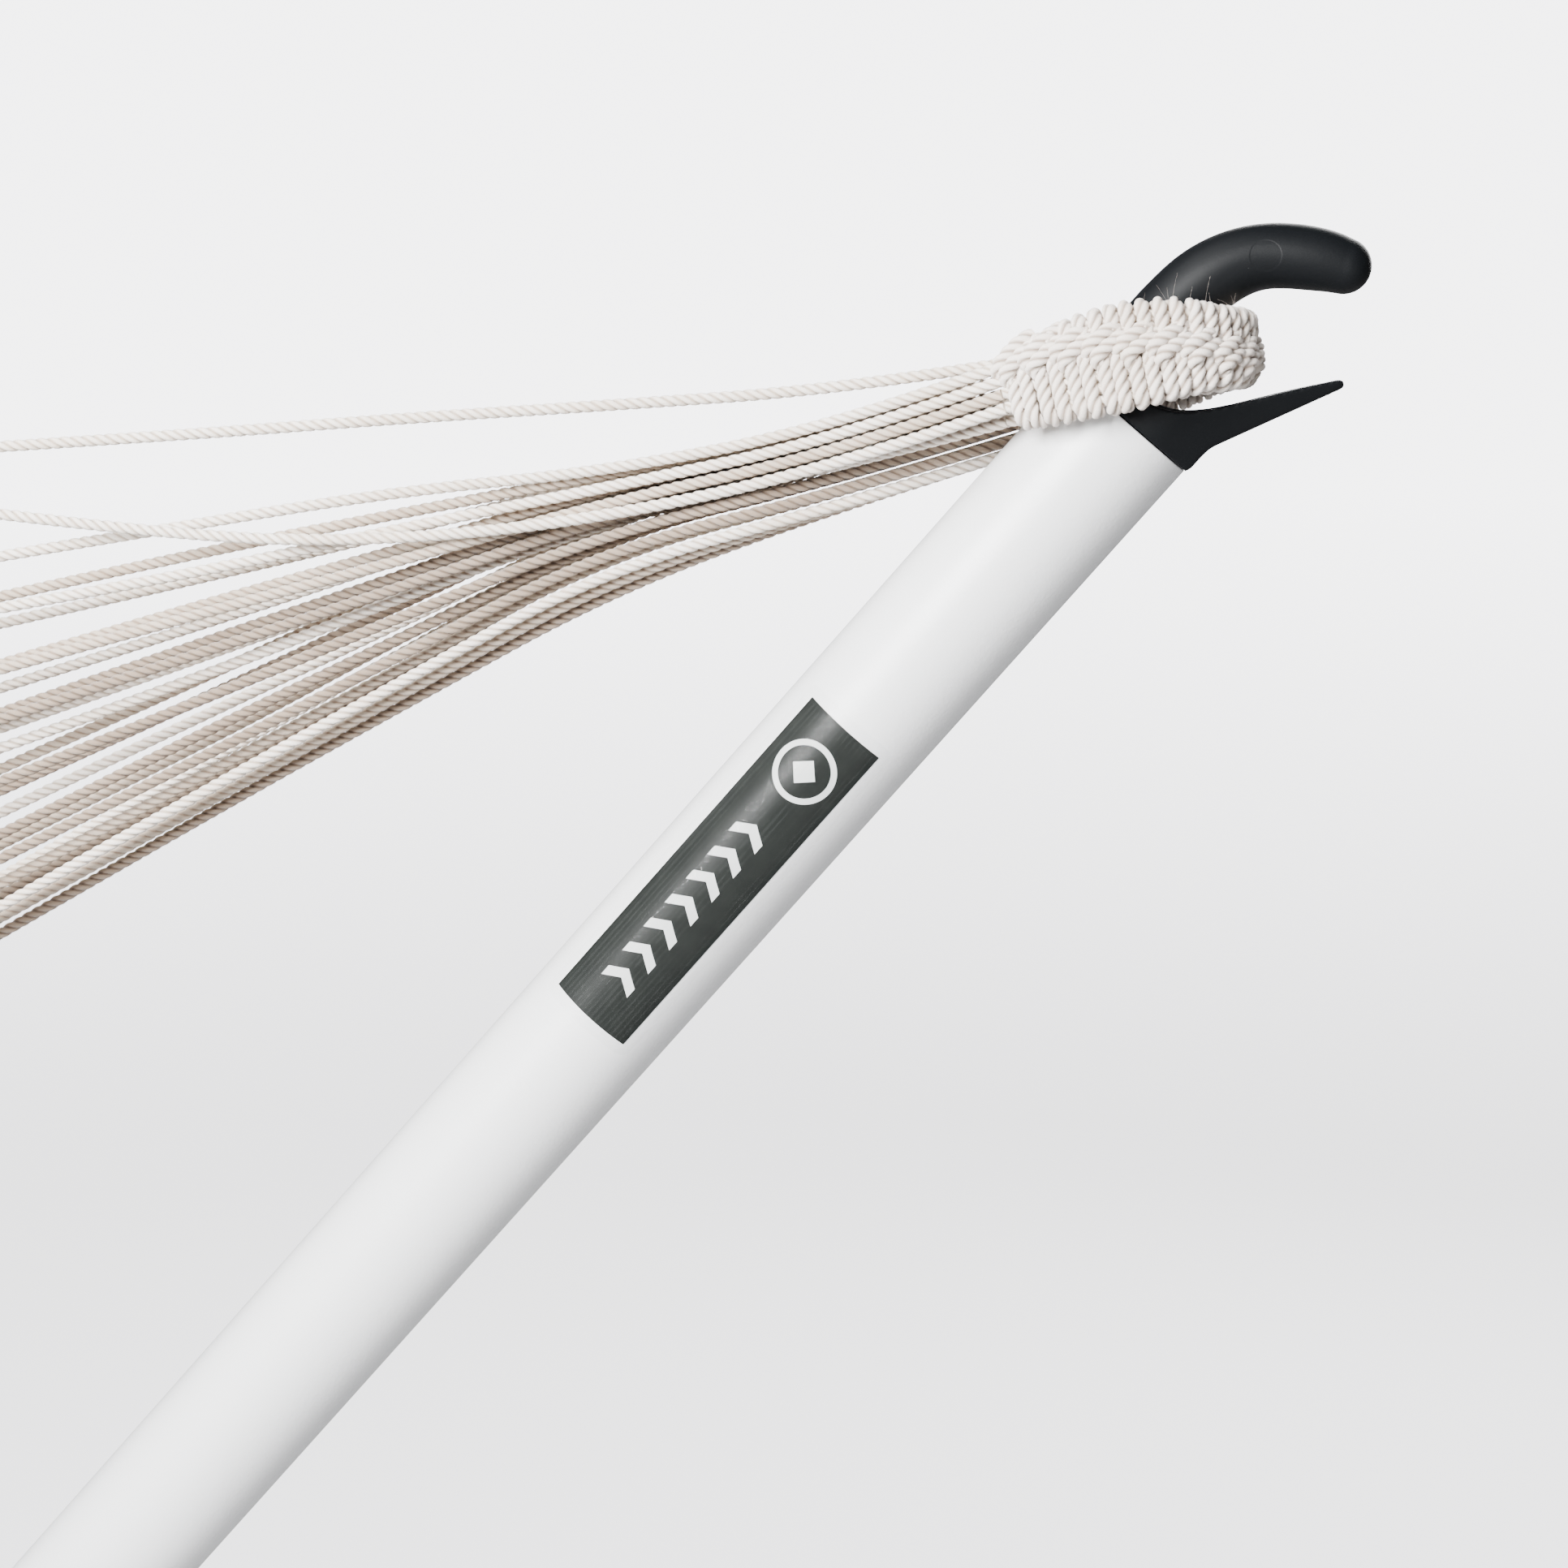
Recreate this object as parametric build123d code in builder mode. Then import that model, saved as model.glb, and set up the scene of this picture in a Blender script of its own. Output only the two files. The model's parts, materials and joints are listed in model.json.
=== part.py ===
"""Upper arm of a hammock stand with its moulded hook, and the hammock's eye and cords hung on it.

Row frame, millimetres, +Z up. The origin is on the tube's axis at its open lower end. The tube
leans in the XZ plane and rises towards +X. The cords leave the hook towards -X.
"""

import math
import os

from build123d import *

# ---- driving dimensions -------------------------------------------------------------------
arm_lean = 48.7  # degrees above the floor
tube_length = 620
tube_r = 25
tube_wall = 2
tube_bore_r = tube_r - tube_wall
socket_r = 23.7  # mouth opened out for the lower arm; its shoulder is the stop
socket_depth = 70
button_hole_r = 4.5
button_hole_up = 40  # from the tube's mouth

collar_r = 25.6
collar_gap = 0.4  # the thin line between the tube and the hook's collar
spigot_length = 48
spigot_core_r = 20.5
spigot_rib_r = 22.9
spigot_ribs = 8
neck_r = 12.2
neck_offset = -13.3  # the neck stands off the tube's axis, towards the hammock
core_bar_r = 5
screw_down = 24  # from the tube's top end to the screw

label_low = 137.3  # label's near and far ends, down from the tube's top end
label_high = 269
label_half_turn = 37.3  # degrees each side of the label's middle
label_turn = -6.5  # degrees from the -Y side, towards the tube's upper side
label_slant = 1.1  # degrees that the label is stuck on askew
film_margin = 4
print_thick = 0.1
film_thick = 0.2

cord_r = 2.0
knot_r = 3.7
knot_length = 8.5
hitch_wall = 2.0  # thickness of the hitched cover over the eye's core

# ---- frames -------------------------------------------------------------------------------
up_x = math.cos(math.radians(arm_lean))
up_z = math.sin(math.radians(arm_lean))
along = Vector(up_x, 0, up_z)  # up the tube
across = Vector(up_z, 0, -up_x)  # square to the tube, towards its lower side
arm_foot = Plane(origin=(0, 0, 0), x_dir=across, z_dir=along)
arm_top = Plane(origin=along * tube_length, x_dir=across, z_dir=along)
arm_side = Plane(origin=along * tube_length, x_dir=across, z_dir=(0, -1, 0))

eye_rise = 9  # degrees that the eye rises towards the hook's tip
eye_x = Vector(math.cos(math.radians(eye_rise)), 0, math.sin(math.radians(eye_rise)))
eye_z = Vector(-math.sin(math.radians(eye_rise)), 0, math.cos(math.radians(eye_rise)))
eye_centre = along * tube_length + eye_x * 5.7 + eye_z * 19.0


def write(part, name):
    """Label a finished piece and write its STEP file."""
    part.label = name
    export_step(part, f"parts/{name}.step")


os.makedirs("parts", exist_ok=True)

# ---- arm tube: drawn steel, with a sized mouth, a button hole and a screw hole ------------
with BuildPart() as arm_tube:
    with BuildSketch(arm_foot):
        Circle(tube_r)
        Circle(tube_bore_r, mode=Mode.SUBTRACT)
    extrude(amount=tube_length)
    with BuildSketch(arm_foot):
        Circle(socket_r)
    extrude(amount=socket_depth, mode=Mode.SUBTRACT)
    rims = arm_tube.edges().filter_by(GeomType.CIRCLE)
    outer_rims = [edge for edge in rims if edge.radius > tube_r - 0.1]
    fillet(outer_rims, 0.5)
    with BuildSketch(Plane(origin=along * button_hole_up, x_dir=along, z_dir=(0, 1, 0))):
        Circle(button_hole_r)
    extrude(amount=tube_r + 1, mode=Mode.SUBTRACT)
    screw_place = along * (tube_length - screw_down)
    with BuildSketch(Plane(origin=screw_place, x_dir=along, z_dir=(0, 1, 0))):
        Circle(2.6)
    extrude(amount=tube_r + 1, mode=Mode.SUBTRACT)
write(arm_tube.part, "arm_tube")

# ---- hook core: bent steel bar inside the hook's neck and horn ----------------------------
# Centre line of neck and horn in the side plane: (across, along) from the tube's top end.
neck_line = [(neck_offset, 4), (neck_offset, 34)]
horn_line = [(-12.6, 46), (-9.2, 58.4), (-2.2, 69.6), (7.2, 77.4), (14.6, 82.0), (19.0, 84.0)]
horn_radii = [12.0, 11.5, 10.8, 10.6, 10.0, 9.3]


def side_point(a, s):
    """Point of the side plane as a vector of the row frame."""
    return along * (tube_length + s) + across * a


def ring_plane(points, index):
    """Plane square to the centre line at one of its points."""
    here = side_point(*points[index])
    before = side_point(*points[max(index - 1, 0)])
    after = side_point(*points[min(index + 1, len(points) - 1)])
    return Plane(origin=here, x_dir=(0, 1, 0), z_dir=after - before)


bar_line = [(neck_offset, -spigot_length + 2), (neck_offset, 40), (-8.6, 60), (9, 78)]
with BuildPart() as hook_core:
    with BuildLine() as bar_path:
        FilletPolyline([side_point(*point) for point in bar_line], radius=22)
    with BuildSketch(Plane(origin=side_point(*bar_line[0]), x_dir=(0, 1, 0), z_dir=along)):
        Circle(core_bar_r)
    sweep(path=bar_path.line)
write(hook_core.part, "hook_core")

# ---- hook body: spigot, collar cup, tongue, neck and horn in one moulding -----------------
tongue_tip = 43.2
tongue_tip_r = 3.5
tongue_side = [(26.0, 2.6), (26.0, 7.0), (27.0, 13.0), (45.6, 54.2)]
tongue_end = [(45.6, 54.2), (45.1, 55.7), (42.6, 55.3)]
tongue_rim = [(42.6, 55.3), (37.9, 49.0), (26.9, 33.4), (16.9, 19.7), (10.0, 13.2), (-2.0, 8.6)]
cup_back = 7.6
cup_wall = 3.0
trough_line = [(-12, 4.6), (4, 4.6), (12, 7.4), (20, 16.0), (29.4, 31.5), (39.0, 49.5)]

with BuildPart() as tongue_cup:
    with BuildSketch(arm_top.offset(collar_gap)):
        with BuildSketch(mode=Mode.PRIVATE) as rounds:
            Circle(collar_r)
            with Locations((tongue_tip, 0)):
                Circle(tongue_tip_r)
        make_hull(rounds.sketch.edges())
    extrude(amount=60)
    with BuildSketch(arm_side):
        with BuildLine():
            Polyline((-30, collar_gap), (25.4, collar_gap), tongue_side[0], tongue_side[1])
            Spline(tongue_side[1:3], tangents=((0, 1), (0.41, 0.91)))
            Line(tongue_side[2], tongue_side[3])
            ThreePointArc(*tongue_end)
            Spline(tongue_rim, tangents=((-0.58, -0.81), (-1, -0.2)))
            Polyline(tongue_rim[-1], (-14, cup_back), (-30, cup_back), (-30, collar_gap))
        make_face()
    extrude(amount=40, both=True, mode=Mode.INTERSECT)
    with BuildSketch(arm_top.offset(4)):
        with BuildSketch(mode=Mode.PRIVATE) as inner_rounds:
            Circle(collar_r - cup_wall)
            with Locations((tongue_tip - 4.2, 0)):
                Circle(1.0)
        make_hull(inner_rounds.sketch.edges())
    trough_core = extrude(amount=60, mode=Mode.PRIVATE)
    with BuildSketch(arm_side):
        with BuildLine():
            Spline(trough_line, tangents=((1, 0), (0.46, 0.89)))
            Polyline(trough_line[-1], (39.0, 70), (-40, 70), (-40, 4.6), trough_line[0])
        make_face()
    trough_side = extrude(amount=40, both=True, mode=Mode.PRIVATE)
    add(trough_core & trough_side, mode=Mode.SUBTRACT)

with BuildPart() as hook_body:
    add(tongue_cup.part)
    with BuildSketch(arm_top.offset(collar_gap)):
        Circle(spigot_core_r)
    extrude(amount=-spigot_length)
    with BuildSketch(arm_top.offset(-2)):
        with PolarLocations(0, spigot_ribs):
            with Locations((spigot_rib_r / 2, 0)):
                Rectangle(spigot_rib_r, 3)
        Circle(spigot_rib_r, mode=Mode.INTERSECT)
    extrude(amount=-(spigot_length - 8))
    with BuildSketch(ring_plane(neck_line, 0)):
        Circle(neck_r)
    with BuildSketch(ring_plane(neck_line, 1)):
        Circle(neck_r)
    loft()
    with BuildSketch(Plane(origin=side_point(*neck_line[1]), x_dir=(0, 1, 0), z_dir=along)):
        Circle(neck_r)
    for place in range(len(horn_line)):
        with BuildSketch(ring_plane(horn_line, place)):
            Circle(horn_radii[place])
    loft()
    with Locations(side_point(*horn_line[-1])):
        Sphere(horn_radii[-1] - 0.02)
    add(hook_core.part, mode=Mode.SUBTRACT)
    with BuildSketch(Plane(origin=screw_place + Vector(0, 8, 0), x_dir=along, z_dir=(0, 1, 0))):
        Circle(2.0)
    extrude(amount=tube_r, mode=Mode.SUBTRACT)
write(hook_body.part, "hook_body")

# ---- cap screw: pan head, at the back of the tube, into the spigot ------------------------
with BuildPart() as cap_screw:
    with BuildSketch(Plane(origin=screw_place + Vector(0, 9, 0), x_dir=along, z_dir=(0, 1, 0))):
        Circle(1.95)
    extrude(amount=tube_r - 9 + 0.3)
    with BuildSketch(Plane(origin=screw_place + Vector(0, tube_r + 0.1, 0), x_dir=along, z_dir=(0, 1, 0))):
        Circle(4.2)
    extrude(amount=2.4)
    head_rim = cap_screw.edges().filter_by(GeomType.CIRCLE).sort_by(Axis.Y)[-1]
    fillet(head_rim, 1.1)
    drive_plane = Plane(origin=screw_place + Vector(0, tube_r + 2.5, 0), x_dir=along, z_dir=(0, -1, 0))
    with BuildSketch(drive_plane):
        Rectangle(4.4, 1)
        Rectangle(1, 4.4)
    extrude(amount=1.4, mode=Mode.SUBTRACT)
write(cap_screw.part, "cap_screw")

# ---- label: dark print and light motif under one clear film -------------------------------
label_mid = (label_low + label_high) / 2
label_long = label_high - label_low
label_angle = math.radians(label_turn)
label_out = across * math.sin(label_angle) + Vector(0, -math.cos(label_angle), 0)
label_place = along * (tube_length - label_mid)
label_plane = Plane(origin=label_place, x_dir=along, z_dir=label_out).rotated((0, 0, label_slant))
print_width = 2 * tube_r * math.sin(math.radians(label_half_turn))
film_half_turn = label_half_turn + math.degrees(film_margin / tube_r)
film_width = 2 * tube_r * math.sin(math.radians(film_half_turn))
shell_plane = Plane(origin=along * (tube_length - label_high - 20), x_dir=across, z_dir=along)


def tube_skin(thick):
    """Thin sleeve on the outside of the tube, over the label's stretch."""
    with BuildPart() as sleeve:
        with BuildSketch(shell_plane):
            Circle(tube_r + thick)
            Circle(tube_r, mode=Mode.SUBTRACT)
        extrude(amount=label_long + 40)
    return sleeve.part


with BuildPart() as print_block:
    with BuildSketch(label_plane):
        Rectangle(label_long, print_width)
    extrude(amount=tube_r + 5)
    add(tube_skin(print_thick), mode=Mode.INTERSECT)

with BuildPart() as label_motif:
    with BuildSketch(label_plane):
        with Locations((46, 0)):
            Circle(11)
            Circle(9, mode=Mode.SUBTRACT)
            RegularPolygon(5, 4)
        with GridLocations(11, 0, 7, 1):
            with Locations((-15, 0)):
                Polygon((-4, -6), (0, -6), (4, 0), (0, 6), (-4, 6), (0, 0), align=None)
    extrude(amount=tube_r + 5)
    add(tube_skin(print_thick), mode=Mode.INTERSECT)
write(label_motif.part, "label_motif")

with BuildPart() as label_print:
    add(print_block.part)
    add(label_motif.part, mode=Mode.SUBTRACT)
write(label_print.part, "label_print")

with BuildPart() as label_film:
    with BuildSketch(label_plane):
        RectangleRounded(label_long + 2 * film_margin, film_width, 3)
    extrude(amount=tube_r + 5)
    add(tube_skin(film_thick), mode=Mode.INTERSECT)
    add(print_block.part, mode=Mode.SUBTRACT)
write(label_film.part, "label_film")

# ---- eye: a flat band of cords bent round the neck, with a hitched cover ------------------
# Each station: place along the eye, across (Y), height; then the band's height, thickness
# and lean in degrees, which is positive where the upper edge lies further from the neck.
eye_stations = [
    (-42, -21, -4.5, 26, 14, -8),
    (-26, -29, -1.0, 33, 10, -12),
    (-6, -31.5, 1.5, 37, 9.5, -12),
    (14, -28.5, 2.0, 34, 10, -8),
    (29, -18, -0.5, 29, 11, 0),
    (35.0, 0, -1.5, 27, 11, 8),
    (29, 18, -1.4, 27.2, 11, 0),
    (14, 28.5, -3.7, 29.6, 10, -2),
    (-6, 31.5, -8, 33, 9.5, 0),
    (-26, 29.5, -12, 31, 10, 0),
    (-42, 21, -14.5, 26, 14, 0),
]
swing_gap = 0.6  # room kept between the eye and the tube


def eye_point(x, y, z):
    """Point given in the eye's own axes as a vector of the row frame."""
    return eye_centre + eye_x * x + Vector(0, y, 0) + eye_z * z


def station_plane(index):
    """Section plane of the band at a station, with its local x pointing out of the loop."""
    here = eye_point(*eye_stations[index][:3])
    before = eye_point(*eye_stations[max(index - 1, 0)][:3])
    after = eye_point(*eye_stations[min(index + 1, len(eye_stations) - 1)][:3])
    ahead = (after - before).normalized()
    if index in (0, len(eye_stations) - 1):
        ahead = eye_x if index == 0 else eye_x * -1
    outward = ahead.cross(eye_z).normalized()
    section = Plane(origin=here, x_dir=outward, z_dir=ahead)
    return section.rotated((0, 0, eye_stations[index][5]))


def eye_band(inset):
    """Loop of the band, with its section drawn in by the inset on every side."""
    with BuildPart() as band:
        for index, station in enumerate(eye_stations):
            tall, thick = station[3], station[4]
            with BuildSketch(station_plane(index)):
                RectangleRounded(thick - 2 * inset, tall - 2 * inset, thick / 2 - inset - 0.4)
        loft()
        with BuildSketch(arm_top.offset(-90)):
            Circle(tube_r + swing_gap)
        extrude(amount=90 + collar_gap, mode=Mode.SUBTRACT)
    return band.part


with BuildPart() as eye_core:
    add(eye_band(hitch_wall))
write(eye_core.part, "eye_core")

with BuildPart() as eye_hitching:
    add(eye_band(0))
    add(eye_core.part, mode=Mode.SUBTRACT)
write(eye_hitching.part, "eye_hitching")

# ---- cords: from the eye's two legs to a knot each, first point at the eye ----------------
cord_routes = [
    [(368, -16, 484.5), (313, -5, 476), (235, -8, 470.5), (164, -9, 466), (92, -10, 460.5), (6, -12, 455)],
    [(368, -25.5, 483.5), (313, -8, 464), (235, -5, 448.5), (164, -5, 441.5), (92, -7, 430), (-4, -6, 414)],
    [(368, -21, 483.5), (313, -3.5, 464), (235, 0, 447.5), (164, -1, 434), (92, -1, 420), (4, -2, 400.5)],
    [(368.5, -16.5, 479), (313, 1, 464), (235, 5, 446), (164, 5, 428), (92, 6, 411), (-10, 6, 388)],
    [(368.5, -25.5, 479), (313, -8, 459.5), (235, -5, 443), (164, -6, 429), (92, -9, 413), (-6, -12, 395.5)],
    [(368.5, -21, 479), (313, -3.5, 459.5), (235, 0, 443), (164, 0, 422), (92, 0, 402), (4, 0, 376)],
    [(369, -16.5, 474.5), (313, 1, 459.5), (235, 4.5, 441.5), (164, 5.5, 419), (92, 7, 395), (2, 8, 367)],
    [(369, -25.5, 474.5), (313, -8, 455), (235, -5, 438), (164, -8, 418), (92, -11, 399), (-8, -14, 371)],
    [(369, -21, 474.5), (313, -3.5, 455), (235, 0, 438.5), (164, 0, 413), (92, 0, 389), (6, 0, 359)],
    [(370, -16.5, 470), (313, 1, 455), (235, 5, 437), (164, 6, 410), (92, 8, 384), (-12, 10, 347.5)],
    [(370, -25.5, 470), (313, -8, 450.5), (235, -10, 433), (164, -13, 425), (92, -16, 425.5), (4, -18, 436)],
    [(370, -21, 470), (313, -3.5, 450.5), (235, -1, 433.5), (164, -4, 409), (92, -7, 385.5), (-4, -10, 353.5)],
    [(370, -16.5, 465.5), (313, 1, 450.5), (235, 4, 432), (164, 3, 406), (92, 3, 377), (4, 2, 346)],
    [(370, 16.5, 473), (313, 6, 459), (235, 9.5, 442), (164, 11, 410), (92, 12, 377), (2, 14, 337)],
    [(370, 21, 473), (313, 10.5, 458), (235, 11.5, 437), (164, 13, 404), (92, 16, 370), (-8, 20, 325)],
    [(370.5, 16.5, 468.5), (313, 6, 454), (235, 9.5, 432), (164, 9, 397.5), (92, 8, 364), (6, 8, 323)],
    [(370.5, 21, 468.5), (313, 10.5, 451.5), (235, 9, 427), (164, 11, 393), (92, 13, 354), (-10, 16, 304)],
    [(371, 16.5, 464), (313, -3.5, 446), (235, -5, 428), (164, -6, 399), (92, -7, 369), (-2, -8, 331)],
    [(371, 21, 464), (313, 1, 446), (235, 0, 427), (164, 1, 392), (92, 1, 358), (4, 2, 314)],
    [(371, 25.5, 464), (313, 5.5, 446), (235, 4.5, 427), (164, 6, 387), (92, 8, 348), (4, 10, 298.5)],
    [(372, 16.5, 459.5), (313, -5.5, 441.5), (235, -5, 422.5), (164, -8, 386), (92, -11, 349), (2, -14, 304)],
    [(372, 21, 459.5), (313, -1, 441.5), (235, 0, 420.5), (164, -1, 382), (92, -3, 343), (-10, -4, 288.5)],
    [(372, 25.5, 459.5), (313, 3.5, 441.5), (235, 4.5, 421.5), (164, 6, 381), (92, 7, 341), (-12, 8, 283)],
    [(371.5, 18, 455), (313, -3.5, 437), (235, -5, 416), (164, -7, 377), (92, -9, 337), (6, -12, 288.5)],
    [(372, 22.3, 455), (313, 1, 437), (235, 0, 412), (164, -1, 373), (92, -1, 333), (4, -2, 284)],
    [(372, 26.6, 455), (313, 5.5, 437), (235, 4.5, 408), (164, 5, 369), (92, 5, 329), (6, 6, 279.5)],
]


def corner_radii(points):
    """Largest arc that each corner's two runs leave room for."""
    radii = []
    for before, here, after in zip(points, points[1:], points[2:]):
        first = Vector(*here) - Vector(*before)
        second = Vector(*after) - Vector(*here)
        half_turn = math.radians(first.get_angle(second)) / 2
        radii.append(0.45 * min(first.length, second.length) / math.tan(half_turn))
    return radii


knots = []
for number, points in enumerate(cord_routes, start=1):
    radii = corner_radii(points)
    with BuildPart() as cord:
        with BuildLine() as route:
            FilletPolyline([Vector(*point) for point in points], radius=radii)
        with BuildSketch(Plane(origin=route.line @ 0, z_dir=route.line % 0)):
            Circle(cord_r)
        sweep(path=route.line)
    cord_length = route.wire().length
    expected = math.pi * cord_r**2 * cord_length
    name = f"cord_{number:02d}"
    print(
        f"{name} length {cord_length:.1f} volume ratio {cord.part.volume / expected:.5f}"
        f" radii {[round(radius) for radius in radii]}"
    )
    write(cord.part, name)
    with BuildPart() as knot:
        with BuildSketch(Plane(origin=route.line @ 1, x_dir=route.line % 1, z_dir=(0, 1, 0))):
            with BuildLine():
                Line((0, 0), (0, cord_r))
                ThreePointArc((0, cord_r), (knot_length / 2, knot_r), (knot_length, cord_r))
                Polyline((knot_length, cord_r), (knot_length, 0), (0, 0))
            make_face()
        revolve(axis=Axis(route.line @ 1, route.line % 1))
    knots.append(knot.part)

# ---- stopper knots: one on the far end of each cord ---------------------------------------
with BuildPart() as end_knots:
    add(knots)
write(end_knots.part, "end_knots")
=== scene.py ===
# %% [markdown]
# # Hammock stand arm with a hammock's eye and cords
# A white steel arm ends in a moulded black hook. A hammock hangs on the hook by its eye, a flat
# loop of cotton cords with a hitched cover, and its cords run off to the left. The tube, the
# label and the steel come from the CAD frame as they are. The hook is a rounded copy of its CAD
# mesh. The cotton is modelled here, because it is soft.

import json
import math
import random

import bpy
import numpy as np
from mathutils import Matrix, Vector


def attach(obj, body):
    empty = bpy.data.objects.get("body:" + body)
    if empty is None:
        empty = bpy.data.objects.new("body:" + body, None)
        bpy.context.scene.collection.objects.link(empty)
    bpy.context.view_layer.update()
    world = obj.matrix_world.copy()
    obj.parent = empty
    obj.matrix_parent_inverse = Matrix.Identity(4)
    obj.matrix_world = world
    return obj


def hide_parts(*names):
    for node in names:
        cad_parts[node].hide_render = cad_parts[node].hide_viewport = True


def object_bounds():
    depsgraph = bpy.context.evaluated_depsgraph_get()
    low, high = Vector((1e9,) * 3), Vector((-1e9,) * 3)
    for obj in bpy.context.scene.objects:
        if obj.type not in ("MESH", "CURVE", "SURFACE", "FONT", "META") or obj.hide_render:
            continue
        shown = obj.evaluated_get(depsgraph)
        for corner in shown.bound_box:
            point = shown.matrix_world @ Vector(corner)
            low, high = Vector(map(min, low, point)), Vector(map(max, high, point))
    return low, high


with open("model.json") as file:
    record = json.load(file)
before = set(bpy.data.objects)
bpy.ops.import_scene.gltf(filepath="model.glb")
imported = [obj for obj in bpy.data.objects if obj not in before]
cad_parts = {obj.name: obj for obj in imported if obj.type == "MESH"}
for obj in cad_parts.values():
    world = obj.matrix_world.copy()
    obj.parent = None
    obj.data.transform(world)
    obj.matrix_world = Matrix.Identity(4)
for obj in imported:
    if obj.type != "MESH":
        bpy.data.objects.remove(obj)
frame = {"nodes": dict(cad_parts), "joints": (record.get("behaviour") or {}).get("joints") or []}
cad_low, cad_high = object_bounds()
nodes = frame["nodes"]
tube_top = Vector(frame["joints"][0]["pos_m"])
tube_axis = tube_top.normalized()
print("CAD box", [round(v, 4) for v in (*cad_low, *cad_high)])

# %% [markdown]
# ## Camera
# The arm is seen from its -Y side, a little from its upper end and a little from above. A long
# lens from 1.2 m keeps the tube's sides nearly parallel. The camera is placed from the tube's
# top end, so it stays right if the arm's length changes. It looks past the tube's end, to the
# left of it and below it, so that the cords fill the left half of the picture.

# %% Camera
view_turn = math.radians(7)
view_drop = math.radians(7)
view_distance = 1.16  # metres from the tube's top end
look_left = 0.0985  # how far the lens points past the tube's end, as a share of the distance
look_down = 0.1041

camera_data = bpy.data.cameras.new("studio_camera")
camera_data.lens = 80.2
camera_data.sensor_width = 36
camera = bpy.data.objects.new("studio_camera", camera_data)
bpy.context.scene.collection.objects.link(camera)
bpy.context.scene.camera = camera
camera.rotation_euler = (math.pi / 2 - view_drop, 0, view_turn)
camera_axes = camera.rotation_euler.to_matrix()
view_right, view_up, view_back = (camera_axes.col[i].copy() for i in range(3))
camera.location = tube_top + view_distance * (view_back - look_left * view_right - look_down * view_up)
print("camera at", [round(v, 4) for v in camera.location])

# %% [markdown]
# ## Helpers for finished pieces
# Each new piece rides on one CAD body. Three small helpers keep that short: one selects a
# single object for the operators, one gives a piece its material, and one hands it to its body.

# %% Helpers for pieces
def pick(obj):
    """Make obj the only selected and active object."""
    bpy.ops.object.select_all(action="DESELECT")
    obj.select_set(True)
    bpy.context.view_layer.objects.active = obj
    return obj


def dress(obj, material):
    """Give obj one material."""
    obj.data.materials.clear()
    obj.data.materials.append(material)
    return obj


def settle(obj, body, slot_name, *replaced):
    """Hand a finished piece to its CAD body and hide the nodes it stands for; slot_name is not used."""
    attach(obj, body)
    if replaced:
        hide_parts(*replaced)
    return obj


# %% [markdown]
# ## Helpers for materials
# A material is a short list of nodes. These helpers add a node with its settings, and start a
# material with its Principled shader, so that each recipe below reads as what the finish is.

# %% Helpers for materials
def add_node(tree, kind, inputs=None, **settings):
    """Add a node, set its properties, and set or link its inputs."""
    node = tree.nodes.new(kind)
    for name, value in settings.items():
        setattr(node, name, value)
    for name, value in (inputs or {}).items():
        if isinstance(value, bpy.types.NodeSocket):
            tree.links.new(value, node.inputs[name])
        else:
            node.inputs[name].default_value = value
    return node


def start_material(name, inputs):
    """New material with a Principled shader: returns it, its tree and its shader."""
    material = bpy.data.materials.new(name)
    material.use_nodes = True
    tree = material.node_tree
    shader = tree.nodes["Principled BSDF"]
    for socket, value in inputs.items():
        shader.inputs[socket].default_value = value
    return material, tree, shader


def noise(tree, vector, scale, detail=3.0, roughness=0.5):
    """Noise texture in object space: scale is in features to the metre."""
    inputs = {"Vector": vector, "Scale": scale, "Detail": detail, "Roughness": roughness}
    return add_node(tree, "ShaderNodeTexNoise", inputs)


def ramp(tree, value, low, high, to_low=0.0, to_high=1.0):
    """Map a value from one range to another, held at both ends."""
    inputs = {"Value": value, "From Min": low, "From Max": high, "To Min": to_low, "To Max": to_high}
    return add_node(tree, "ShaderNodeMapRange", inputs).outputs["Result"]


def blend_colour(tree, share, first, second):
    """Colour that goes from first to second as share goes from 0 to 1."""
    mix = add_node(tree, "ShaderNodeMix", data_type="RGBA")
    for socket, value in ((mix.inputs[0], share), (mix.inputs[6], first), (mix.inputs[7], second)):
        if isinstance(value, bpy.types.NodeSocket):
            tree.links.new(value, socket)
        else:
            socket.default_value = value
    return mix.outputs[2]


# %% [markdown]
# ## Rope: the centre line
# A cord is held by its route: a few given points, the same ones that the CAD tubes use.
# Straight runs between them would look like bent wire. A NURBS curve of order 3 takes them as
# control points and passes smoothly near them, as a rope under light tension does. The strands
# need evenly spaced points on that line, so it is made a mesh and read back.

# %% Smooth line through a route
def smooth_line(route, spacing):
    """Even points along the NURBS line that has the route's points as its control points."""
    curve = bpy.data.curves.new("route_line", "CURVE")
    curve.dimensions = "3D"
    spline = curve.splines.new("NURBS")
    spline.points.add(len(route) - 1)
    for point, place in zip(spline.points, route):
        point.co = (*place, 1)
    spline.order_u = 3
    spline.use_endpoint_u = True
    spline.resolution_u = 40
    holder = bpy.data.objects.new("route_line", curve)
    bpy.context.scene.collection.objects.link(holder)
    mesh = bpy.data.meshes.new_from_object(holder)
    places = np.array([vertex.co[:] for vertex in mesh.vertices])
    bpy.data.objects.remove(holder)
    bpy.data.curves.remove(curve)
    bpy.data.meshes.remove(mesh)
    return spread_evenly(places, spacing)


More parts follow.
